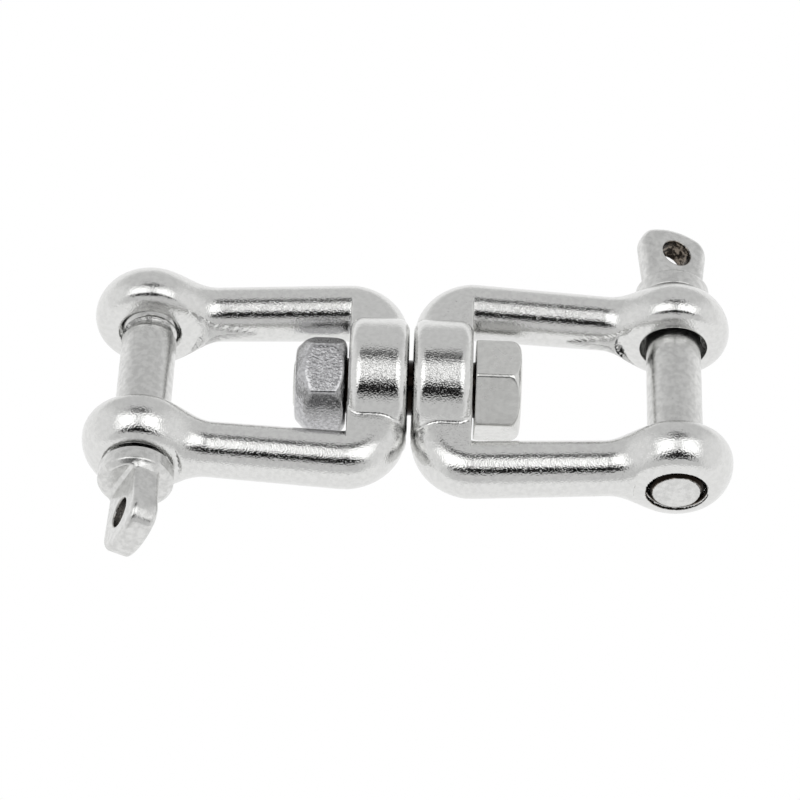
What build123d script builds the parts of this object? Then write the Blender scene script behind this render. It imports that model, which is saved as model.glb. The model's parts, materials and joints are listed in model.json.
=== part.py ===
"""Jaw-and-jaw anchor swivel for an 8 mm chain: two cast stainless jaws turning on one bolt,
each closed by a screw pin.

Frame, in millimetres: the swivel bolt lies on X, with the origin midway between the two crowns.
The right jaw opens towards +X, its clevis pin lies along Y, and +Z points up.
The left half is the right half turned by 180 degrees about Z, then rolled a little on the bolt.
"""
from build123d import *
import math
import os

# ---- driving dimensions ---------------------------------------------------------------------
pin_diameter = 8.0           # nominal size of the swivel: clevis pins and swivel bolt
jaw_reach = 38.3             # from the middle of the swivel to each clevis pin's axis
jaw_opening = 17.5           # between the flat inner faces of the two ears
crown_gap = 0.6              # between the two crowns
crown_width = 8.6            # along the bolt
crown_diameter = 20.0
hex_across_flats = 13.0
left_half_roll = -4.6        # the left half's turn about the bolt, as a slack swivel lies
left_pin_backed_off = 0.45   # the left clevis pin is not screwed quite home
overrun = 1.0                # how far a cutting or buried solid passes beyond its face

# ---- crown ----------------------------------------------------------------------------------
crown_near = crown_gap / 2
crown_far = crown_near + crown_width
crown_rim_radius = 1.8
swivel_clearance = 0.08      # radial, bolt in crown
swivel_bore_radius = pin_diameter / 2 + swivel_clearance
swivel_bore_chamfer = 0.4

# ---- bar: the bend that leaves the crown, then the arm --------------------------------------
bend_bar_radius = 4.2
bend_inset = 0.1             # the bar's outer side stands this far behind the crown's end face
bend_centre_x = crown_near + bend_inset + bend_bar_radius
bend_radius = crown_far - bend_centre_x
arm_root_offset = 14.33      # arm centre line from the X axis, where the arm leaves the bend
arm_ear_offset = 12.6        # the same at the clevis pin
arm_root_radius = 4.15
arm_ear_radius = 3.9
ear_blend_radius = 5.0

# ---- ears -----------------------------------------------------------------------------------
ear_radius = 8.2
ear_middle = 12.0            # widest plane of the ear, from the X axis
ear_outer_arc = 5.75
ear_inner_arc = 3.85
ear_face = 17.1              # outer seat of the ear, from the X axis
ear_inner_face = jaw_opening / 2

# ---- slot between the arms ------------------------------------------------------------------
slot_root_half_width = 10.5
slot_taper_end_x = 27.0
slot_taper_end_half_width = 9.45
slot_parallel_start_x = 31.0
slot_end_x = 60.0
slot_height = 40.0

# ---- clevis pin -----------------------------------------------------------------------------
pin_radius = pin_diameter / 2
plain_bore_radius = 4.85
plain_bore_chamfer = 0.15
tapped_mouth_radius = 4.86
thread_pitch = 1.25
thread_crest_radius = 3.95
thread_depth = 0.55
thread_flat = 0.2            # width of each crest and root
thread_turns = 5
thread_start = 8.9           # first thread flank, from the X axis
thread_clearance = 0.08      # radial, pin crest in the ear's bore
tapped_bore_radius = thread_crest_radius + thread_clearance
tapped_outer_relief = 0.3    # the hole's outer end is this much larger, where the pin's tip shows
tapped_outer_relief_depth = 0.9
relief_radius = 3.4
shank_end = 8.1
tip_chamfer = 0.45
pin_tip = 17.1

# ---- clevis pin head ------------------------------------------------------------------------
collar_radius = 5.4
collar_gap = 0.1             # between the collar and the ear's seat
collar_thickness = 2.9
collar_bevel = 0.7
collar_under_bevel = 0.25
tongue_root_half_width = 4.45
tongue_end_half_width = 5.45
tongue_shoulder = 28.8       # where the sides end and the end arc starts, from the X axis
tongue_end = 30.6
tongue_thickness = 3.9
tongue_corner_radius = 1.7
tongue_edge_radius = 0.5
tongue_buried = 0.5          # how far the tongue's root reaches into the collar
eye_radius = 2.15
eye_offset = 25.75           # from the X axis
right_tongue_angle = 20.5    # turn of each tongue about its own pin
left_tongue_angle = 63.0

# ---- swivel bolt and nut --------------------------------------------------------------------
hex_corner_radius = hex_across_flats / math.sqrt(3)
bolt_head_near = 9.35
bolt_head_far = 16.0
bolt_head_corner_angle = 20.0     # one corner, from +Z towards -Y
nut_near = 9.2
nut_far = 16.6
nut_corner_angle = 46.0
nut_bore_radius = 3.4             # tapped bore of the nut, at its minor diameter
bolt_end_dome = 0.25
hex_end_round = 2.0
hex_seat_round = 0.4
nut_seat_round = 2.4
nut_cone = 2.4                    # length of the 45 degree cone on the nut's outer end

left_half = Rot(X=left_half_roll) * Rot(Z=180)


def turned(profile, axis):
    """A solid of revolution about the axis from a closed list of (radius, station) corners."""
    if axis == Axis.X:
        corners = [(station, radius) for radius, station in profile]
    else:
        corners = profile
    return revolve(make_face(Polyline(*corners, close=True)), axis)


def thread_profile(crest, root, start, direction):
    """Corners of the thread's flanks, from the first crest on, along the pin's axis."""
    flank = (thread_pitch - 2 * thread_flat) / 2
    corners = []
    for turn in range(thread_turns):
        station = start + turn * thread_pitch
        corners += [
            (crest, direction * station),
            (crest, direction * (station + thread_flat)),
            (root, direction * (station + thread_flat + flank)),
            (root, direction * (station + 2 * thread_flat + flank)),
        ]
    corners.append((crest, direction * (start + thread_turns * thread_pitch)))
    return corners


def crown_boss():
    boss = Pos(X=(crown_near + crown_far) / 2) * Rot(Y=90) * Cylinder(crown_diameter / 2, crown_width)
    return fillet(boss.edges().filter_by(GeomType.CIRCLE), crown_rim_radius)


def bar_section(bend_axis_y):
    """The bend's section: flat inside, half round outside, standing on the XZ plane."""
    outline = [
        Line((crown_far, 0, bend_bar_radius), (bend_centre_x, 0, bend_bar_radius)),
        ThreePointArc(
            (bend_centre_x, 0, bend_bar_radius),
            (bend_centre_x - bend_bar_radius, 0, 0),
            (bend_centre_x, 0, -bend_bar_radius),
        ),
        Line((bend_centre_x, 0, -bend_bar_radius), (crown_far, 0, -bend_bar_radius)),
        Line((crown_far, 0, -bend_bar_radius), (crown_far, 0, bend_bar_radius)),
    ]
    return Pos(Y=bend_axis_y) * make_face(outline)


def ear(side):
    """The eye of one arm, a solid of revolution about the clevis pin's axis."""
    outer_centre = ear_radius - ear_outer_arc
    inner_centre = ear_radius - ear_inner_arc
    seat_radius = outer_centre + math.sqrt(ear_outer_arc**2 - (ear_face - ear_middle) ** 2)
    seat_slope = math.radians(45)
    outline = [
        Line((0, ear_face), (seat_radius, ear_face)),
        ThreePointArc(
            (seat_radius, ear_face),
            (
                outer_centre + ear_outer_arc * math.cos(seat_slope / 2),
                ear_middle + ear_outer_arc * math.sin(seat_slope / 2),
            ),
            (ear_radius, ear_middle),
        ),
        ThreePointArc(
            (ear_radius, ear_middle),
            (
                inner_centre + ear_inner_arc * math.cos(seat_slope),
                ear_middle - ear_inner_arc * math.sin(seat_slope),
            ),
            (inner_centre, ear_middle - ear_inner_arc),
        ),
        Line((inner_centre, ear_middle - ear_inner_arc), (0, ear_middle - ear_inner_arc)),
        Line((0, ear_middle - ear_inner_arc), (0, ear_face)),
    ]
    solid = revolve(make_face(outline), Axis.Y)
    if side < 0:
        solid = Rot(Z=180) * solid
    return Pos(X=jaw_reach) * solid


def arm(side):
    """One straight arm, round and slightly tapered, from the bend to the middle of the ear."""
    root = Pos(crown_far, side * arm_root_offset, 0) * Rot(Y=90) * Circle(arm_root_radius)
    end = Pos(jaw_reach, side * arm_ear_offset, 0) * Rot(Y=90) * Circle(arm_ear_radius)
    return loft([root, end])


def bend(side):
    """The quarter turn from the crown into one arm."""
    axis_y = arm_root_offset - bend_radius
    turn_axis = Axis((crown_far, axis_y, 0), (0, 0, 1))
    corner = revolve(bar_section(axis_y), turn_axis, -90)
    return corner if side > 0 else mirror(corner, Plane.XZ)


def slot():
    """The space milled between the arms: wider at the crown, parallel between the ears."""
    edge = [
        (crown_far, slot_root_half_width),
        (slot_taper_end_x, slot_taper_end_half_width),
        (slot_parallel_start_x, ear_inner_face),
        (slot_end_x, ear_inner_face),
    ]
    outline = edge + [(x, -y) for x, y in reversed(edge)]
    return extrude(make_face(Polyline(*outline, close=True)), slot_height / 2, both=True)


def swivel_bore():
    reach = swivel_bore_radius + swivel_bore_chamfer
    profile = [
        (0, crown_near - swivel_bore_chamfer),
        (reach + swivel_bore_chamfer, crown_near - swivel_bore_chamfer),
        (swivel_bore_radius, crown_near + swivel_bore_chamfer),
        (swivel_bore_radius, crown_far - swivel_bore_chamfer),
        (reach + swivel_bore_chamfer, crown_far + swivel_bore_chamfer),
        (0, crown_far + swivel_bore_chamfer),
    ]
    return turned(profile, Axis.X)


def plain_bore():
    """The clearance hole of the ear under the pin's collar, on the +Y side."""
    mouth_radius = plain_bore_radius + plain_bore_chamfer
    profile = [
        (0, ear_inner_face - overrun),
        (mouth_radius, ear_inner_face - overrun),
        (mouth_radius, ear_inner_face),
        (plain_bore_radius, ear_inner_face + plain_bore_chamfer),
        (plain_bore_radius, ear_face + overrun),
        (0, ear_face + overrun),
    ]
    return Pos(X=jaw_reach) * turned(profile, Axis.Y)


def tapped_bore():
    """The threaded hole of the other ear, on the -Y side, countersunk inside and relieved outside."""
    mouth_depth = tapped_mouth_radius - tapped_bore_radius
    outer_mouth = tapped_bore_radius + tapped_outer_relief
    root = tapped_bore_radius + thread_depth
    first_turn = ear_inner_face + mouth_depth + thread_flat
    profile = [
        (0, -ear_inner_face + overrun),
        (tapped_mouth_radius, -ear_inner_face + overrun),
        (tapped_mouth_radius, -ear_inner_face),
        (tapped_bore_radius, -ear_inner_face - mouth_depth),
    ]
    profile += thread_profile(tapped_bore_radius, root, first_turn, -1)
    profile += [
        (tapped_bore_radius, -ear_face + tapped_outer_relief_depth),
        (outer_mouth, -ear_face + tapped_outer_relief_depth - tapped_outer_relief),
        (outer_mouth, -ear_face - overrun),
        (0, -ear_face - overrun),
    ]
    return Pos(X=jaw_reach) * turned(profile, Axis.Y)


def neck_edge(edge):
    """Whether an edge is where an arm runs into its ear."""
    return edge.geom_type == GeomType.BSPLINE and edge.center().X > jaw_reach - ear_radius


def jaw():
    """One jaw: crown, two bends, two arms and two ears, cast in one piece, then bored."""
    web_length = 2 * (arm_root_offset - bend_radius)
    bar = extrude(bar_section(web_length / 2), web_length, dir=(0, -1, 0))
    limb = crown_boss() + bar
    for side in (1, -1):
        limb += bend(side)
        branch = arm(side) + ear(side)
        neck = branch.edges().filter_by(neck_edge)
        limb += fillet(neck, ear_blend_radius)
    return limb - slot() - swivel_bore() - plain_bore() - tapped_bore()


def clevis_pin(tongue_angle):
    """A screw pin with a collar and a flat eyed tongue. The head is on the +Y side."""
    collar_seat = ear_face + collar_gap
    collar_top = collar_seat + collar_thickness
    thread_root_radius = thread_crest_radius - thread_depth
    profile = [(0, -pin_tip), (thread_crest_radius - tip_chamfer, -pin_tip)]
    profile += [(thread_crest_radius, -pin_tip + tip_chamfer)]
    profile += reversed(thread_profile(thread_crest_radius, thread_root_radius, thread_start, -1))
    profile += [
        (relief_radius, -thread_start + thread_flat),
        (relief_radius, -shank_end - thread_flat),
        (pin_radius, -shank_end + pin_radius - relief_radius),
        (pin_radius, collar_seat),
        (collar_radius - collar_under_bevel, collar_seat),
        (collar_radius, collar_seat + collar_under_bevel),
        (collar_radius, collar_top - collar_bevel),
        (collar_radius - collar_bevel, collar_top),
        (0, collar_top),
    ]
    shank = turned(profile, Axis.Y)
    return shank + Rot(Y=tongue_angle) * tongue(collar_top)


def tongue(root):
    """The flat key of the pin's head, forged wider towards its end, with an eye for a wire."""
    foot = root - tongue_buried
    outline = [
        Line((-tongue_root_half_width, foot), (tongue_root_half_width, foot)),
        Line((tongue_root_half_width, foot), (tongue_end_half_width, tongue_shoulder)),
        ThreePointArc(
            (tongue_end_half_width, tongue_shoulder),
            (0, tongue_end),
            (-tongue_end_half_width, tongue_shoulder),
        ),
        Line((-tongue_end_half_width, tongue_shoulder), (-tongue_root_half_width, foot)),
    ]
    face = make_face(outline)
    face = fillet(face.vertices().sort_by(Axis.Y)[-2:], tongue_corner_radius)
    plate = extrude(face, tongue_thickness / 2, both=True)
    rim = plate.edges().filter_by(lambda edge: edge.center().Y > root)
    plate = fillet(rim.filter_by(lambda edge: abs(edge.center().Z) > tongue_edge_radius), tongue_edge_radius)
    return plate - Pos(Y=eye_offset) * Cylinder(eye_radius, 2 * tongue_thickness)


def end_rim(drum, end):
    """The circular edge at one end of a drum along X: 0 is the end at the lowest X, -1 the other."""
    return drum.edges().filter_by(GeomType.CIRCLE).sort_by(Axis.X)[end]


def hexagon(near, far, corner_angle, near_round, far_round):
    """A hexagonal prism along X whose ends are turned round."""
    section = Plane.YZ * Rot(Z=90 + corner_angle) * RegularPolygon(hex_corner_radius, 6)
    prism = Pos(X=near) * extrude(section, far - near)
    drum = Pos(X=(near + far) / 2) * Rot(Y=90) * Cylinder(hex_corner_radius, far - near)
    drum = fillet(end_rim(drum, 0), near_round)
    drum = fillet(end_rim(drum, -1), far_round)
    return prism & drum


def swivel_bolt():
    """Hexagon bolt with its head at +X. The end is peened over the nut, in a low dome."""
    head = hexagon(bolt_head_near, bolt_head_far, bolt_head_corner_angle, hex_seat_round, hex_end_round)
    shoulder = -nut_near
    end = -nut_far
    profile = [
        (0, bolt_head_near + overrun),
        (pin_radius, bolt_head_near + overrun),
        (pin_radius, shoulder),
        (nut_bore_radius, shoulder),
        (nut_bore_radius, end - bolt_end_dome / 2),
        (nut_bore_radius - bolt_end_dome, end - bolt_end_dome),
        (0, end - bolt_end_dome),
    ]
    return head + turned(profile, Axis.X)


def swivel_nut():
    """Hexagon nut on the bolt's end, against the bolt's shoulder."""
    body = hexagon(-nut_far, -nut_near, nut_corner_angle, hex_seat_round, nut_seat_round)
    profile = [
        (0, -nut_far),
        (hex_corner_radius - nut_cone, -nut_far),
        (hex_corner_radius + overrun, nut_cone + overrun - nut_far),
        (hex_corner_radius + overrun, overrun - nut_near),
        (0, overrun - nut_near),
    ]
    body = body & turned(profile, Axis.X)
    bore = Pos(X=-(nut_near + nut_far) / 2) * Rot(Y=90) * Cylinder(nut_bore_radius, 2 * nut_far)
    return body - bore


right_pin_place = Pos(X=jaw_reach)
left_pin_place = left_half * Pos(jaw_reach, left_pin_backed_off, 0)
parts = {
    "right_jaw": jaw(),
    "left_jaw": left_half * jaw(),
    "right_clevis_pin": right_pin_place * clevis_pin(right_tongue_angle),
    "left_clevis_pin": left_pin_place * clevis_pin(left_tongue_angle),
    "swivel_bolt": swivel_bolt(),
    "swivel_nut": swivel_nut(),
}

os.makedirs("parts", exist_ok=True)
for name, solid in parts.items():
    export_step(solid, f"parts/{name}.step")
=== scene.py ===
import json
import math

import bpy
import numpy as np
from mathutils import Matrix, Vector


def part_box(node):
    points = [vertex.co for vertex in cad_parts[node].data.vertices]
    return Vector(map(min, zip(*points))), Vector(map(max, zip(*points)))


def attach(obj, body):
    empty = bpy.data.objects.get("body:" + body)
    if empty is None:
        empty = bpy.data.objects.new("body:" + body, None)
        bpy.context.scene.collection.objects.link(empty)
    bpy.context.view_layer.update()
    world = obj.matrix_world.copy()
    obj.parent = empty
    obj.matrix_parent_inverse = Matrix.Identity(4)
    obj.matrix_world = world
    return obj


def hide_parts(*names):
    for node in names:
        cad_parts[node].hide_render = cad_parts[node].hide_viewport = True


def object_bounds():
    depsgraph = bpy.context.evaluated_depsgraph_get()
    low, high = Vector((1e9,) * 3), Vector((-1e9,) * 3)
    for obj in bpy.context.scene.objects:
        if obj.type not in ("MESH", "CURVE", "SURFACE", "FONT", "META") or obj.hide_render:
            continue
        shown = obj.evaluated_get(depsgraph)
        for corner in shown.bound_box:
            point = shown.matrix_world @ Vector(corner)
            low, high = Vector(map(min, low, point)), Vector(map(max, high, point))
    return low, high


# The anchor swivel's looks. Shapes are worked out in millimetres, in the right half's own frame,
# as fields whose value is the distance to the surface, and go into the scene in metres.

MM = 0.001

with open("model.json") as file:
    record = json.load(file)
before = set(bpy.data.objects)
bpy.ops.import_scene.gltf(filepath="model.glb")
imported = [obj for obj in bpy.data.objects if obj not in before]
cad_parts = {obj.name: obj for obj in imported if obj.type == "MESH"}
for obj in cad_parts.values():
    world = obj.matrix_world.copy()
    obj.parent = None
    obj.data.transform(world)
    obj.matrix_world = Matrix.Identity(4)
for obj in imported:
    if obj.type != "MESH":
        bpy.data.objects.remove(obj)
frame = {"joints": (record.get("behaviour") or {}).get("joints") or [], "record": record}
cad_low, cad_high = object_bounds()

# ---- sizes read from the frame --------------------------------------------------------------


def box_mm(node):
    low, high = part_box(node)
    return np.array(low) / MM, np.array(high) / MM


mounts = {mount["name"]: mount for mount in frame["record"]["mounts"]}
joints = {joint["name"]: joint for joint in frame["joints"]}
jaw_low, jaw_high = box_mm("right_jaw")
pin_low, pin_high = box_mm("right_clevis_pin")
bolt_low, bolt_high = box_mm("swivel_bolt")
nut_low, nut_high = box_mm("swivel_nut")

JAW_REACH = mounts["right_clevis_pin"]["pos_m"][0] / MM
PIN_RADIUS = mounts["right_clevis_pin"]["dims"]["r_mm"]
EYE_RADIUS = mounts["right_pin_eye"]["dims"]["r_mm"]
EYE_OFFSET = mounts["right_pin_eye"]["pos_m"][1] / MM
CROWN_RADIUS = jaw_high[2]
CROWN_NEAR = jaw_low[0]
EAR_RADIUS = jaw_high[0] - JAW_REACH
PIN_TIP = -pin_low[1]
TONGUE_END = pin_high[1]
BOLT_HEAD_FAR = bolt_high[0]
BOLT_END = bolt_low[0]
NUT_FAR, NUT_NEAR = nut_low[0], nut_high[0]

RIGHT_TONGUE = math.atan2(mounts["right_pin_eye"]["axis"][0], mounts["right_pin_eye"]["axis"][2])
left_draw = joints["left_pin_draw"]["axis"]
LEFT_ROLL = math.atan2(-left_draw[2], -left_draw[1])
LEFT_HALF = Matrix.Rotation(LEFT_ROLL, 4, "X") @ Matrix.Rotation(math.pi, 4, "Z")
left_hole = LEFT_HALF.inverted().to_3x3() @ Vector(mounts["left_pin_eye"]["axis"])
LEFT_TONGUE = math.atan2(left_hole.x, left_hole.z)
left_eye = LEFT_HALF.inverted() @ Vector(mounts["left_pin_eye"]["pos_m"])
LEFT_PIN_OUT = left_eye.y / MM - EYE_OFFSET

# ---- sizes of the design, in millimetres ----------------------------------------------------
CROWN_WIDTH = 8.6
CROWN_FAR = CROWN_NEAR + CROWN_WIDTH
CROWN_RIM = 1.9
SWIVEL_BORE = 4.08

BEND_BAR = 4.2
BEND_RADIUS = 4.8
BEND_SETBACK = 0.1
BEND_CENTRE_X = CROWN_NEAR + BEND_SETBACK + BEND_BAR
ARM_ROOT_Y = 14.33
ARM_EAR_Y = 12.6
ARM_ROOT_RADIUS = 4.15
ARM_EAR_RADIUS = 3.9
ARM_END_X = JAW_REACH - 2.5
ARM_OVERLAP = 4.0
EAR_BLEND = 3.0
CROWN_BLEND = 0.4
BORE_ROUND = 0.35
SWIVEL_BORE_ROUND = 0.5

EAR_MIDDLE = 12.0
EAR_OUTER_ARC = 5.75
EAR_INNER_ARC = 3.85
EAR_FACE = 17.1
SEAT_RADIUS = 5.9
SEAT_BLEND = 1.2
EAR_INNER_FACE = 8.75
EAR_INNER_ROUND = 1.5

PLAIN_BORE = 4.85
TAPPED_BORE = 4.03
TAPPED_MOUTH = 4.86
TAPPED_RELIEF = 0.3
RELIEF_DEPTH = 0.9
THREAD_PITCH = 1.25
THREAD_DEPTH = 0.55

THREAD_CREST = 3.95
THREAD_START = 8.9
RELIEF_RADIUS = 3.4
SHANK_END = 8.1
SHANK_BEVEL = 0.6
TIP_CHAMFER = 0.45

COLLAR_RADIUS = 5.4
COLLAR_SEAT = 17.2
COLLAR_TOP = 20.1
COLLAR_BEVEL = 0.7
BURIED = 1.0
TONGUE_ROOT = 4.45
TONGUE_WIDE = 5.45
TONGUE_SHOULDER = 28.8
TONGUE_HALF = 1.95
TONGUE_CORNER = 1.9
TONGUE_BLEND = 0.8
EYE_ROUND = 0.3

HEX_HALF = 6.5
HEX_CORNER = HEX_HALF * 2 / math.sqrt(3)
HEX_SEAT_ROUND = 0.4
HEX_END_ROUND = 2.0
BOLT_HEAD_NEAR = 9.35
BOLT_CORNER = math.radians(20)
NUT_CORNER = math.radians(46)
NUT_BORE = 3.4
NUT_CONE = 2.4
NUT_SEAT_ROUND = 2.4

# The grease-and-shade value is 0 on clean steel, 1 where there is old grease and 2 where black shade is
# painted in gaps and deep recesses.
GREASE, PAINTED_SHADE = 1.0, 2.0
GREASE_AND_SHADE_FADE = 0.1
# How deep from the ear face the painted shade in the tapped hole's mouth reaches.
SHADE_DEPTH = 1.5
EYE_DIRT_REACH = 0.22
# How far past the tapped hole's edge the painted shade reaches.
MOUTH_SHADE_REACH = 0.12

# ---- fields ---------------------------------------------------------------------------------


def join(a, b, blend):
    """The union of two solids, with a smooth blend about as wide as given."""
    h = np.clip(0.5 + 0.5 * (b - a) / blend, 0, 1)
    return b * (1 - h) + a * h - blend * h * (1 - h)


def meet(a, b, blend):
    """What two solids share, with the edge rounded."""
    return -join(-a, -b, blend)


def cut(a, b, blend):
    """The first solid without the second, with the edge rounded."""
    return meet(a, -b, blend)


def rounded(across, along, rounding):
    """A section that is limited in two directions at right angles, with a round corner."""
    u, v = across + rounding, along + rounding
    return np.minimum(np.maximum(u, v), 0) + np.hypot(np.maximum(u, 0), np.maximum(v, 0)) - rounding


def between(value, low, high):
    """How far a value is outside a span."""
    return np.abs(value - (low + high) / 2) - (high - low) / 2


def thread(angle, station):
    """The depth of a helical vee thread, from 0 at its crest to 1 at its root."""
    phase = np.mod(station / THREAD_PITCH + angle / (2 * math.pi), 1)
    return np.clip(1.25 - np.abs(phase - 0.5) * 3, 0, 1)


def bar_offset(x, y):
    """Distance outwards from the bar's centre line, in plan: negative inside the jaw."""
    bend_y = ARM_ROOT_Y - BEND_RADIUS
    bend_x = BEND_CENTRE_X + BEND_RADIUS
    crown_side = BEND_CENTRE_X - x
    slope = (ARM_EAR_Y - ARM_ROOT_Y) / (JAW_REACH - bend_x)
    arm_side = (y - ARM_ROOT_Y - slope * (x - bend_x)) / math.hypot(1, slope)
    corner = np.hypot(x - bend_x, y - bend_y) - BEND_RADIUS
    return np.where(y < bend_y, crown_side, np.where(x > bend_x, arm_side, corner))


def ear_field(x, y, z):
    """The eye at the end of an arm: a flattened ball about the clevis pin's axis."""
    radius = np.hypot(x - JAW_REACH, z)
    out = y - EAR_MIDDLE
    outer = np.hypot(np.maximum(radius - EAR_RADIUS + EAR_OUTER_ARC, 0), out) - EAR_OUTER_ARC
    inner = np.hypot(np.maximum(radius - EAR_RADIUS + EAR_INNER_ARC, 0), out) - EAR_INNER_ARC
    ear = np.where(out > 0, outer, inner)
    return cut(ear, y - EAR_INNER_FACE, EAR_INNER_ROUND)


def jaw_field(x, y, z):
    side_y = np.abs(y)
    boss = rounded(np.hypot(y, z) - CROWN_RADIUS, between(x, CROWN_NEAR, CROWN_FAR), CROWN_RIM)
    offset = bar_offset(x, side_y)
    web = np.hypot(np.maximum(offset, 0), z) - BEND_BAR
    web = meet(web, x - CROWN_FAR, BORE_ROUND)
    crown = join(boss, web, CROWN_BLEND)
    taper = np.clip((x - CROWN_FAR) / (JAW_REACH - CROWN_FAR), 0, 1)
    beyond = np.maximum(x - ARM_END_X, 0)
    arm = np.hypot(np.hypot(offset, z), beyond) - ARM_ROOT_RADIUS
    arm = arm - (ARM_EAR_RADIUS - ARM_ROOT_RADIUS) * taper
    arm = np.maximum(arm, CROWN_FAR - ARM_OVERLAP - x)
    limb = join(arm, ear_field(x, side_y, z), EAR_BLEND)
    radius, angle = np.hypot(x - JAW_REACH, z), np.arctan2(z, x - JAW_REACH)
    limb = cut(limb, np.maximum(EAR_FACE - side_y, radius - SEAT_RADIUS), SEAT_BLEND)
    body = np.minimum(crown, limb)
    body = cut(body, np.hypot(y, z) - SWIVEL_BORE, SWIVEL_BORE_ROUND)
    plain = np.maximum(radius - PLAIN_BORE, -y)
    mouth = np.maximum(TAPPED_MOUTH - TAPPED_BORE - (side_y - EAR_INNER_FACE), 0)
    mouth = np.maximum(mouth, np.clip(side_y - EAR_FACE + RELIEF_DEPTH, 0, TAPPED_RELIEF))
    tapped = TAPPED_BORE + np.maximum(THREAD_DEPTH * thread(angle, y), mouth)
    body = cut(body, plain, BORE_ROUND)
    return np.maximum(body, -np.maximum(radius - tapped, y))


def pin_field(x, y, z, tongue_angle, tongue_edge):
    radius, angle = np.hypot(x, z), np.arctan2(z, x)
    screw = THREAD_CREST - THREAD_DEPTH * thread(angle, y)
    screw = np.minimum(screw, THREAD_CREST - TIP_CHAMFER + (y + PIN_TIP))
    lead = np.maximum(RELIEF_RADIUS, PIN_RADIUS - np.maximum(-SHANK_END + SHANK_BEVEL - y, 0))
    wall = np.where(y < -THREAD_START, screw, lead)
    shank = np.maximum(radius - wall, between(y, -PIN_TIP, COLLAR_SEAT + BURIED))
    collar = rounded(radius - COLLAR_RADIUS, between(y, COLLAR_SEAT, COLLAR_TOP), 0.2)
    bevel = (radius - COLLAR_RADIUS + y - COLLAR_TOP + COLLAR_BEVEL) * math.sqrt(0.5)
    collar = meet(collar, bevel, 0.15)
    across = x * math.cos(tongue_angle) - z * math.sin(tongue_angle)
    through = x * math.sin(tongue_angle) + z * math.cos(tongue_angle)
    share = np.clip((y - COLLAR_TOP) / (TONGUE_SHOULDER - COLLAR_TOP), 0, 1.2)
    sides = np.abs(across) - TONGUE_ROOT - (TONGUE_WIDE - TONGUE_ROOT) * share
    sagitta = TONGUE_END - TONGUE_SHOULDER
    arc = (TONGUE_WIDE**2 + sagitta**2) / (2 * sagitta)
    end = np.hypot(across, y - TONGUE_END + arc) - arc
    outline = rounded(sides, end, TONGUE_CORNER)
    plate = rounded(outline, np.abs(through) - TONGUE_HALF, tongue_edge)
    plate = np.maximum(plate, COLLAR_SEAT + BURIED - y)
    plate = cut(plate, np.hypot(across, y - EYE_OFFSET) - EYE_RADIUS, EYE_ROUND)
    head = join(collar, plate, TONGUE_BLEND)
    return np.minimum(shank, head)


def pin_grease_and_shade(points, tongue_angle, grease):
    """Old grease in the hole through the tongue, and painted black shade on the thread near the tip,
    down in the tapped hole's mouth.
    """
    x, y, z = points.T
    across = x * math.cos(tongue_angle) - z * math.sin(tongue_angle)
    from_axis = np.hypot(across, y - EYE_OFFSET)
    eye = np.clip((EYE_RADIUS + EYE_DIRT_REACH - from_axis) / GREASE_AND_SHADE_FADE, 0, 1)
    wall = np.clip((np.hypot(x, z) - THREAD_CREST + TIP_CHAMFER + GREASE_AND_SHADE_FADE) / GREASE_AND_SHADE_FADE, 0, 1)
    return np.where(y < SHADE_DEPTH - EAR_FACE, PAINTED_SHADE * wall, grease * eye)


def bolt_painted_shade(points):
    """Painted black shade on the bolt's bare shank, between the crowns and beside its head, where the
    narrow gaps lie in shade.
    """
    x, y, z = points.T
    return PAINTED_SHADE * ((np.hypot(y, z) < PIN_RADIUS + GREASE_AND_SHADE_FADE) & (np.abs(x) < BOLT_HEAD_NEAR))


def jaw_painted_shade(points):
    """Painted black shade in the mouth of the jaw's tapped hole, where the gap round the pin lies deep
    in shade.
    """
    x, y, z = points.T
    radius = np.hypot(x - JAW_REACH, z)
    mouth = np.clip((TAPPED_BORE + TAPPED_RELIEF + MOUTH_SHADE_REACH - radius) / GREASE_AND_SHADE_FADE, 0, 1)
    return np.where(y < SHADE_DEPTH - EAR_FACE, PAINTED_SHADE * mouth, 0)


def hexagon_field(x, y, z, near, far, corner, near_round, far_round):
    """A hexagonal prism along X whose ends are turned round."""
    sides = None
    for third in range(3):
        normal = corner + math.radians(30 + 60 * third)
        flat = np.abs(-y * math.sin(normal) + z * math.cos(normal)) - HEX_HALF
        sides = flat if sides is None else meet(sides, flat, 0.3)
    radius = np.hypot(y, z) - HEX_CORNER
    middle = (near + far) / 2
    ends = np.abs(x - middle) - (far - near) / 2
    drum = np.where(x < middle, rounded(radius, ends, near_round), rounded(radius, ends, far_round))
    return meet(sides, drum, 0.25)


def bolt_field(x, y, z):
    radius = np.hypot(y, z)
    span = BOLT_HEAD_NEAR, BOLT_HEAD_FAR
    head = hexagon_field(x, y, z, *span, BOLT_CORNER, HEX_SEAT_ROUND, HEX_END_ROUND)
    wall = np.where(x < NUT_NEAR, NUT_BORE, PIN_RADIUS)
    shank = rounded(radius - wall, between(x, BOLT_END, BOLT_HEAD_NEAR + BURIED), 0.5)
    return np.minimum(head, shank)


def nut_field(x, y, z):
    body = hexagon_field(x, y, z, NUT_FAR, NUT_NEAR, NUT_CORNER, HEX_SEAT_ROUND, NUT_SEAT_ROUND)
    radius = np.hypot(y, z)
    cone = (radius - HEX_CORNER + NUT_FAR + NUT_CONE - x) * math.sqrt(0.5)
    body = meet(body, cone, 0.4)
    return cut(body, radius - NUT_BORE, 0.3)


# ---- meshes from fields ---------------------------------------------------------------------


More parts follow.
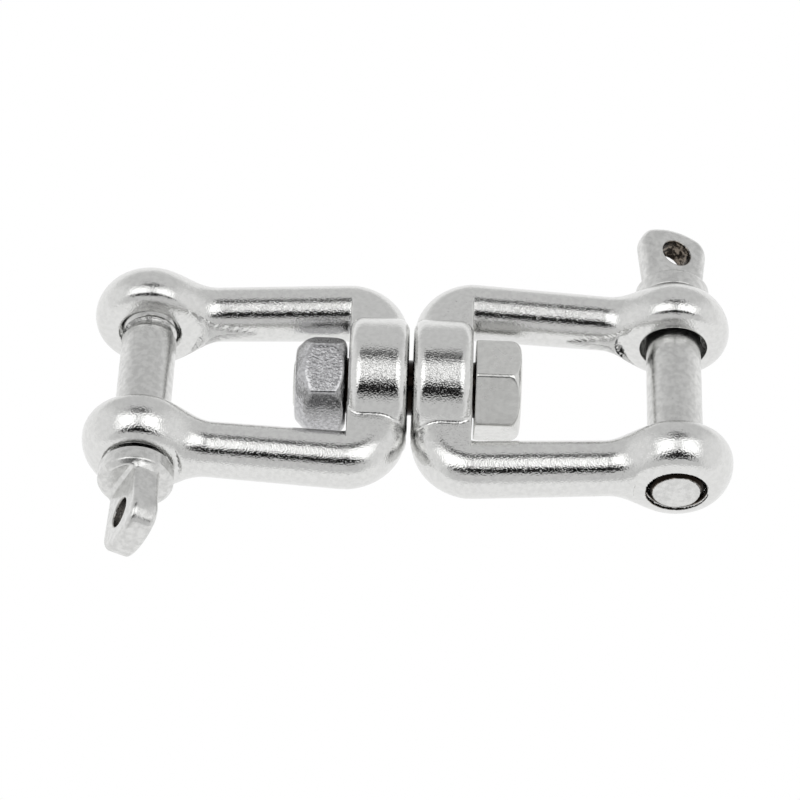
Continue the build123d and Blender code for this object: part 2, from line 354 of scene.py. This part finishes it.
def surface_net(values, low, step):
    """Points and quads on the zero level of values sampled on a grid."""
    inside = values < 0
    corners = [(i, j, k) for i in (0, 1) for j in (0, 1) for k in (0, 1)]
    shape = np.array(values.shape) - 1

    def corner(grid, c):
        return grid[c[0]:c[0] + shape[0], c[1]:c[1] + shape[1], c[2]:c[2] + shape[2]]

    count = sum(corner(inside, c).astype(np.int8) for c in corners)
    cells = np.argwhere((count > 0) & (count < 8))
    index = -np.ones(shape, dtype=np.int64)
    index[tuple(cells.T)] = np.arange(len(cells))
    total, weight = np.zeros((len(cells), 3)), np.zeros(len(cells))
    for a in corners:
        for axis in range(3):
            if a[axis]:
                continue
            b = tuple(a[n] + (n == axis) for n in range(3))
            va = values[tuple((cells + a).T)]
            vb = values[tuple((cells + b).T)]
            crossed = (va < 0) != (vb < 0)
            share = np.where(crossed, va / np.where(crossed, va - vb, 1), 0)
            point = cells + np.array(a) + share[:, None] * (np.array(b) - np.array(a))
            total[crossed] += point[crossed]
            weight += crossed
    points = low + step * total / weight[:, None]
    quads = []
    for axis in range(3):
        u, v = (axis + 1) % 3, (axis + 2) % 3
        ahead = np.eye(3, dtype=int)
        first = inside[tuple(slice(0, -1) if n == axis else slice(None) for n in range(3))]
        second = inside[tuple(slice(1, None) if n == axis else slice(None) for n in range(3))]
        crossing = np.argwhere(first != second)
        flip = first[tuple(crossing.T)]
        ring = [crossing - ahead[u] - ahead[v], crossing - ahead[v], crossing, crossing - ahead[u]]
        quad = np.stack([index[tuple(cell.T)] for cell in ring], axis=1)
        quad[~flip] = quad[~flip][:, ::-1]
        quads.append(quad)
    return points, np.concatenate(quads)


def gradient(field, points):
    reach = 0.01
    rows = []
    for axis in range(3):
        ahead, behind = points.copy(), points.copy()
        ahead[:, axis] += reach
        behind[:, axis] -= reach
        rows.append((field(*ahead.T) - field(*behind.T)) / (2 * reach))
    return np.stack(rows, axis=1)


def settle(field, points, rounds):
    """Moves points onto the field's surface."""
    for _ in range(rounds):
        slope = gradient(field, points)
        steep = np.maximum((slope**2).sum(axis=1), 0.05)
        step = slope * (field(*points.T) / steep)[:, None]
        points = points - np.clip(step, -0.3, 0.3)
    return points


def even_out(field, points, quads, rounds):
    """Spaces the points evenly along the surface."""
    edges = np.concatenate([quads[:, [n, (n + 1) % 4]] for n in range(4)])
    degree = np.bincount(edges[:, 0], minlength=len(points)).astype(float)
    degree += np.bincount(edges[:, 1], minlength=len(points))
    for _ in range(rounds):
        total = np.zeros_like(points)
        np.add.at(total, edges[:, 0], points[edges[:, 1]])
        np.add.at(total, edges[:, 1], points[edges[:, 0]])
        points = points + 0.5 * (total / degree[:, None] - points)
        points = settle(field, points, 1)
    return points


def shape_from_field(field, low, high, step):
    """Points, normals and quads of a field's surface, in millimetres."""
    margin = 2 * step
    low, high = np.array(low) - margin, np.array(high) + margin
    count = np.ceil((high - low) / step).astype(int) + 1
    axes = [low[n] + step * np.arange(count[n]) for n in range(3)]
    grid = np.meshgrid(*axes, indexing="ij")
    points, quads = surface_net(field(*grid), low, step)
    points = settle(field, points, 3)
    points = even_out(field, points, quads, 3)
    points = settle(field, points, 3)
    normals = gradient(field, points)
    normals /= np.maximum(np.linalg.norm(normals, axis=1), 1e-6)[:, None]
    return points, normals, quads


def piece(name, shape, place, material, node, body, grease_and_shade=0):
    """One visible piece: its mesh, its finish, and the CAD node and body that it stands for."""
    points, normals, quads = shape
    turn = np.array(place.to_3x3())
    shift = np.array(place.translation)
    mesh = bpy.data.meshes.new(name)
    mesh.from_pydata((points * MM @ turn.T + shift).tolist(), [], quads.tolist())
    mesh.polygons.foreach_set("use_smooth", np.ones(len(mesh.polygons), dtype=bool))
    mesh.normals_split_custom_set_from_vertices((normals @ turn.T).tolist())
    # Per-point value of old grease and of painted black shade, read by the material.
    grease_and_shade_value = mesh.attributes.new("grease_and_shade", "FLOAT", "POINT")
    grease_and_shade_value.data.foreach_set("value", grease_and_shade * np.ones(len(points)))
    mesh.materials.append(material)
    made = bpy.data.objects.new(name, mesh)
    bpy.context.collection.objects.link(made)
    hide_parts(node)
    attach(made, body)
    return made


# ---- materials ------------------------------------------------------------------------------


def shader_math(tree, operation, first, second=None):
    """A math node on sockets or numbers, as the socket that holds its result."""
    node = tree.nodes.new("ShaderNodeMath")
    node.operation = operation
    for place, value in enumerate((first, second)):
        if isinstance(value, bpy.types.NodeSocket):
            tree.links.new(value, node.inputs[place])
        elif value is not None:
            node.inputs[place].default_value = value
    return node.outputs["Value"]


def fade(tree, value, start, end, low=0, high=1):
    """Goes smoothly from low to high as the value goes from start to end."""
    node = tree.nodes.new("ShaderNodeMapRange")
    node.interpolation_type = "SMOOTHSTEP"
    for socket, number in (("From Min", start), ("From Max", end), ("To Min", low), ("To Max", high)):
        node.inputs[socket].default_value = number
    tree.links.new(value, node.inputs["Value"])
    return node.outputs["Result"]


def noise(tree, per_mm, detail):
    """Noise fixed to the piece, with the given number of grains in a millimetre."""
    place = tree.nodes.new("ShaderNodeTexCoord")
    node = tree.nodes.new("ShaderNodeTexNoise")
    node.inputs["Scale"].default_value = per_mm / MM
    node.inputs["Detail"].default_value = detail
    tree.links.new(place.outputs["Object"], node.inputs["Vector"])
    return node.outputs["Fac"]


def bump(tree, height, distance, normal=None):
    node = tree.nodes.new("ShaderNodeBump")
    node.inputs["Distance"].default_value = distance * MM
    node.inputs["Strength"].default_value = 1
    tree.links.new(height, node.inputs["Height"])
    if normal:
        tree.links.new(normal, node.inputs["Normal"])
    return node.outputs["Normal"]


def mixed(tree, factor, first, second):
    """Goes from the first colour to the second, each a plain colour or a socket."""
    node = tree.nodes.new("ShaderNodeMix")
    node.data_type = "RGBA"
    tree.links.new(factor, node.inputs["Factor"])
    for name, colour in (("A", first), ("B", second)):
        if isinstance(colour, bpy.types.NodeSocket):
            tree.links.new(colour, node.inputs[name])
        else:
            node.inputs[name].default_value = (*colour, 1)
    return node.outputs["Result"]


def steel(name, colour, roughness, grain, wave, pits, mottle):
    """Stainless steel: grain and wave are (number per mm, height in mm), pits a depth in mm.

    Mottle is (number per mm, share of the colour that it takes away or adds).
    """
    material = bpy.data.materials.new(name)
    material.use_nodes = True
    tree = material.node_tree
    shader = tree.nodes["Principled BSDF"]
    shader.inputs["Metallic"].default_value = 1

    normal = bump(tree, noise(tree, wave[0], 1), wave[1])
    normal = bump(tree, noise(tree, grain[0], 1), grain[1], normal)
    if pits:
        specks = fade(tree, noise(tree, PITS_PER_MM, 2), PIT_SHARE, PIT_SHARE + 0.05, 1, 0)
        normal = bump(tree, specks, pits, normal)
    tree.links.new(normal, shader.inputs["Normal"])

    patches = noise(tree, PATCHES_PER_MM, 4)
    dullness = fade(tree, patches, 0.3, 0.7, roughness * 0.8, roughness * 1.3)
    tree.links.new(dullness, shader.inputs["Roughness"])

    # The base colour turns brown where there is old grease, and near black where shade is painted in
    # gaps and recesses.
    grease_and_shade_value = tree.nodes.new("ShaderNodeAttribute")
    grease_and_shade_value.attribute_name = "grease_and_shade"
    grease_and_shade_value = grease_and_shade_value.outputs["Fac"]
    cloud = fade(tree, noise(tree, CLOUDS_PER_MM, 5), 0.42, 0.62)
    pale = shader_math(tree, "MULTIPLY", cloud, shader_math(tree, "SUBTRACT", PAINTED_SHADE, grease_and_shade_value))
    darker, lighter = [[c * (1 + way * mottle[1]) for c in colour] for way in (-1, 1)]
    spread = fade(tree, noise(tree, mottle[0], 3), 0.35, 0.65)
    clean = mixed(tree, spread, darker, lighter)
    grease_and_shade_colour = mixed(tree, pale, DARK_GREASE_AND_SHADE, SOIL_PALE)
    tree.links.new(mixed(tree, grease_and_shade_value, clean, grease_and_shade_colour), shader.inputs["Base Color"])
    return material


PITS_PER_MM = 1.1
PIT_SHARE = 0.27
PATCHES_PER_MM = 0.35
CLOUDS_PER_MM = 1.6
# Near-black colour of old grease and of painted shade.
DARK_GREASE_AND_SHADE = (0.012, 0.009, 0.007)
SOIL_PALE = (0.20, 0.17, 0.14)

jaw_steel = steel(
    "jaw_steel",
    colour=(0.72, 0.72, 0.71),
    roughness=0.085,
    grain=(4.5, 0.034),
    wave=(0.7, 0.006),
    pits=0.01,
    mottle=(1.4, 0.03),
)
pin_steel = steel(
    "pin_steel",
    colour=(0.66, 0.66, 0.65),
    roughness=0.20,
    grain=(4.0, 0.016),
    wave=(0.5, 0.006),
    pits=0.012,
    mottle=(1.2, 0.08),
)
bolt_steel = steel(
    "bolt_steel",
    colour=(0.70, 0.70, 0.685),
    roughness=0.22,
    grain=(4.0, 0.014),
    wave=(0.6, 0.006),
    pits=0,
    mottle=(1.2, 0.04),
)
nut_steel = steel(
    "nut_steel",
    colour=(0.50, 0.50, 0.51),
    roughness=0.16,
    grain=(3.2, 0.04),
    wave=(0.8, 0.008),
    pits=0.02,
    mottle=(2.2, 0.13),
)

# ---- pieces ---------------------------------------------------------------------------------
JAW_STEP = 0.21
PIN_STEP = 0.18

RIGHT_HALF = Matrix.Identity(4)
jaw_shape = shape_from_field(jaw_field, jaw_low, jaw_high, JAW_STEP)
for side, half in (("right", RIGHT_HALF), ("left", LEFT_HALF)):
    name = side + "_jaw"
    # Painted black shade in the tapped hole's mouth.
    grease_and_shade = jaw_painted_shade(jaw_shape[0])
    piece(name + "_casting", jaw_shape, half, jaw_steel, name, name, grease_and_shade)

for side, half, angle, out, edge, grease in (
    ("right", RIGHT_HALF, RIGHT_TONGUE, 0, 1.5, GREASE),
    ("left", LEFT_HALF, LEFT_TONGUE, LEFT_PIN_OUT, 0.8, GREASE / 2),
):
    pin_shape = shape_from_field(
        lambda x, y, z: pin_field(x, y, z, angle, edge),
        (-COLLAR_RADIUS, -PIN_TIP, -COLLAR_RADIUS),
        (COLLAR_RADIUS, TONGUE_END, COLLAR_RADIUS),
        PIN_STEP,
    )
    place = half @ Matrix.Translation((JAW_REACH * MM, out * MM, 0))
    name = side + "_clevis_pin"
    # Old grease in the eye, and painted black shade on the thread in the hole's mouth.
    grease_and_shade = pin_grease_and_shade(pin_shape[0], angle, grease)
    piece(side + "_screw_pin", pin_shape, place, pin_steel, name, name, grease_and_shade)

bolt_shape = shape_from_field(bolt_field, bolt_low, bolt_high, PIN_STEP)
# Painted black shade on the bolt's shank where it shows through the gaps.
grease_and_shade = bolt_painted_shade(bolt_shape[0])
name = "swivel_bolt"
piece("hexagon_bolt", bolt_shape, RIGHT_HALF, bolt_steel, name, name, grease_and_shade)
nut_shape = shape_from_field(nut_field, nut_low, nut_high, PIN_STEP)
piece("hexagon_nut", nut_shape, RIGHT_HALF, nut_steel, "swivel_nut", "swivel_bolt")

# ---- floor, light and camera ----------------------------------------------------------------
FLOOR_SIZE = 2.0

floor_mesh = bpy.data.meshes.new("floor")
reach = FLOOR_SIZE / 2
floor_z = cad_low[2]
floor_mesh.from_pydata(
    [(x * reach, y * reach, floor_z) for x, y in ((-1, -1), (1, -1), (1, 1), (-1, 1))],
    [],
    [(0, 1, 2, 3)],
)
floor = bpy.data.objects.new("floor", floor_mesh)
bpy.context.collection.objects.link(floor)
floor_paint = bpy.data.materials.new("floor_paint")
floor_paint.use_nodes = True
floor_shader = floor_paint.node_tree.nodes["Principled BSDF"]
floor_shader.inputs["Base Color"].default_value = (0, 0, 0, 1)
floor_shader.inputs["Roughness"].default_value = 1
floor_shader.inputs["Specular IOR Level"].default_value = 0
floor_shader.inputs["Emission Color"].default_value = (1, 1, 1, 1)
floor_shader.inputs["Emission Strength"].default_value = 1
floor_mesh.materials.append(floor_paint)


# The room is seen only in the steel. Climb is the angle up from the front of the floor, over the
# top, and side is the angle to the left or the right of the object's middle, both in degrees.
WALL_LEVEL = 0.68
SIDE_WALL_LEVEL = 0.9
LAMP_LEVEL = 1.55
BETWEEN_LAMPS_LEVEL = 0.45
GAP_LEVEL = 0.01
FRAME_LEVEL = 0.05
LAMP_LOW, LAMP_HIGH, LAMP_SLANT = 65, 100, 0.4
GAP_LOW, GAP_SIDE = 38, 34
LAMP_SIDE = 41
FRAME_LOW, FRAME_HIGH, FRAME_SIDE = 100, 116, 16
MIDDLE_SIDE = 3.8


def studio_light():
    """Grey walls, two wide lamps overhead with a frame behind them, and a dark gap in front of them."""
    world = bpy.data.worlds.new("studio")
    bpy.context.scene.world = world
    world.use_nodes = True
    tree = world.node_tree
    place = tree.nodes.new("ShaderNodeTexCoord")
    parts = tree.nodes.new("ShaderNodeSeparateXYZ")
    tree.links.new(place.outputs["Generated"], parts.inputs["Vector"])
    x, y, z = (parts.outputs[axis] for axis in "XYZ")
    front = shader_math(tree, "MULTIPLY", y, -1)
    climb = shader_math(tree, "DEGREES", shader_math(tree, "ARCTAN2", z, front))
    side = shader_math(tree, "ABSOLUTE", shader_math(tree, "DEGREES", shader_math(tree, "ARCSINE", x)))

    def share(*masks):
        total = masks[0]
        for mask in masks[1:]:
            total = shader_math(tree, "MULTIPLY", total, mask)
        return total

    def painted(level, to, mask):
        """The level, replaced by another one where the mask is 1."""
        kept = shader_math(tree, "MULTIPLY", level, shader_math(tree, "SUBTRACT", 1, mask))
        return shader_math(tree, "ADD", kept, shader_math(tree, "MULTIPLY", mask, to))

    slant = shader_math(tree, "ADD", climb, shader_math(tree, "MULTIPLY", side, LAMP_SLANT))
    above_gap = fade(tree, slant, LAMP_LOW - 3, LAMP_LOW + 3)
    below_lamp = shader_math(tree, "SUBTRACT", 1, above_gap)
    lamp = share(
        above_gap,
        fade(tree, climb, LAMP_HIGH - 2, LAMP_HIGH + 2, 1, 0),
        fade(tree, side, LAMP_SIDE - 4, LAMP_SIDE + 4, 1, 0),
    )
    middle = share(lamp, fade(tree, side, MIDDLE_SIDE - 2, MIDDLE_SIDE + 2, 1, 0))
    gap = share(
        below_lamp,
        fade(tree, climb, GAP_LOW - 2, GAP_LOW + 2),
        fade(tree, side, GAP_SIDE - 6, GAP_SIDE + 6, 1, 0),
    )
    edge = share(
        fade(tree, climb, FRAME_LOW - 5, FRAME_LOW + 7),
        fade(tree, climb, FRAME_HIGH - 4, FRAME_HIGH + 4, 1, 0),
        fade(tree, side, FRAME_SIDE - 5, FRAME_SIDE + 5, 1, 0),
    )
    level = fade(tree, side, 30, 60, WALL_LEVEL, SIDE_WALL_LEVEL)
    level = painted(level, LAMP_LEVEL, lamp)
    level = painted(level, BETWEEN_LAMPS_LEVEL, middle)
    level = painted(level, GAP_LEVEL, gap)
    level = painted(level, FRAME_LEVEL, edge)
    tree.links.new(level, tree.nodes["Background"].inputs["Color"])


studio_light()

CAMERA_DISTANCE = 513.9
CAMERA_LENS = 159.7
CAMERA_ELEVATION = math.radians(52.56)
CAMERA_ROLL = math.radians(2.07)
CAMERA_RIGHT = -1.45
CAMERA_UP = -1.76

camera_data = bpy.data.cameras.new("camera")
camera_data.lens = CAMERA_LENS
camera_data.sensor_width = 36
camera_data.clip_start = 0.01
camera_data.clip_end = 10
camera = bpy.data.objects.new("camera", camera_data)
bpy.context.collection.objects.link(camera)
forward = Vector((0, math.cos(CAMERA_ELEVATION), -math.sin(CAMERA_ELEVATION)))
level_up = Vector((0, math.sin(CAMERA_ELEVATION), math.cos(CAMERA_ELEVATION)))
across = Vector((1, 0, 0)) * math.cos(CAMERA_ROLL) + level_up * math.sin(CAMERA_ROLL)
up = level_up * math.cos(CAMERA_ROLL) - Vector((1, 0, 0)) * math.sin(CAMERA_ROLL)
eye = (across * CAMERA_RIGHT + up * CAMERA_UP - forward * CAMERA_DISTANCE) * MM
rotation = Matrix((across, up, -forward)).transposed()
camera.matrix_world = Matrix.Translation(eye) @ rotation.to_4x4()
bpy.context.scene.camera = camera
bpy.context.scene.view_settings.view_transform = "Standard"

bpy.context.view_layer.update()
